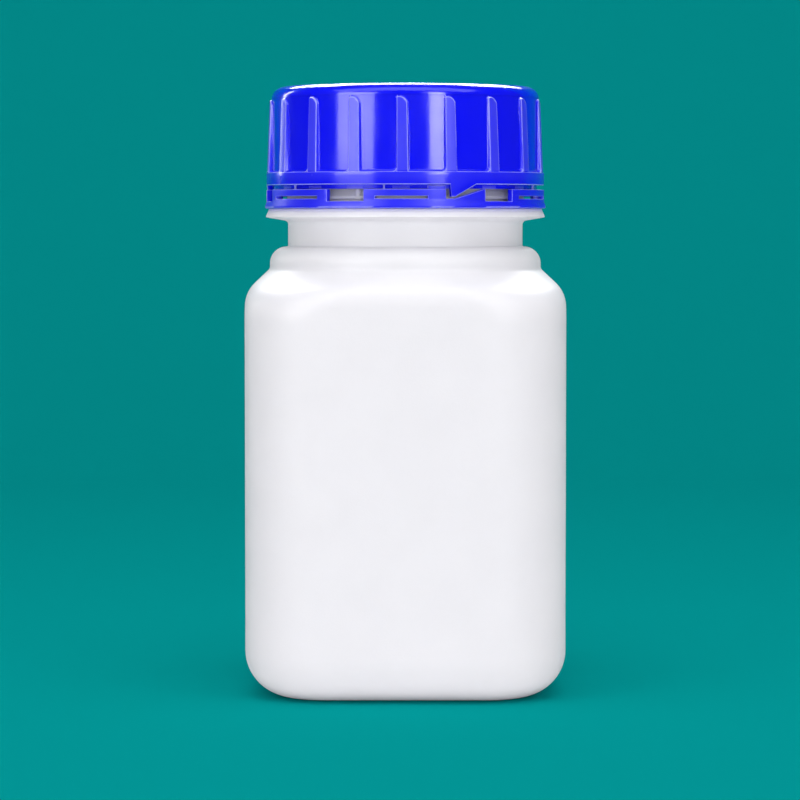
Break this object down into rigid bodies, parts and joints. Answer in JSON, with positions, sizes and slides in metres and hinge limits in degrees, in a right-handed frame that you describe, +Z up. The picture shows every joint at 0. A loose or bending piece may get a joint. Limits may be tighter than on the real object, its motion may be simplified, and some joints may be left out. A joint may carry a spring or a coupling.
{
  "type": "wide-mouth reagent bottle",
  "caption": "Square wide-mouth plastic reagent bottle with a threaded neck, a ribbed screw cap that unscrews and lifts off, a break-away tamper band and a lined cap.",
  "frame": {"origin": "middle of the base, on the table", "axes": "+Z up along the neck's axis; -Y is the front; X and Y run square to the body's flat sides"},
  "size_m": [0.062, 0.062, 0.1179],
  "materials": {
    "bottle_white": "blown high-density polyethylene, satin",
    "cap_blue": "moulded polypropylene, glossy",
    "band_blue": "moulded polypropylene, glossy",
    "wad_foam": "foamed polyethylene, matte",
    "facing_film": "smooth barrier film, satin"
  },
  "bodies": {
    "bottle": {"bottle": "bottle_white"},
    "band": {"tamper_band": "band_blue", "break_ties": "band_blue"},
    "cap": {"screw_cap": "cap_blue", "liner_wad": "wad_foam", "liner_facing": "facing_film"}
  },
  "joints": [
    {"name": "cap_turn", "type": "hinge", "parent": "bottle", "child": "band", "pos_m": [0, 0, 0.096], "axis": [0, 0, 1], "range_deg": [0, 1440]},
    {"name": "cap_lift", "type": "slide", "parent": "band", "child": "cap", "axis": [0, 0, 1], "range_m": [0, 0.02]}
  ],
  "couplings": [
    {"joint": "cap_lift", "follows": "cap_turn", "m_per_rad": 0.00079577}
  ]
}
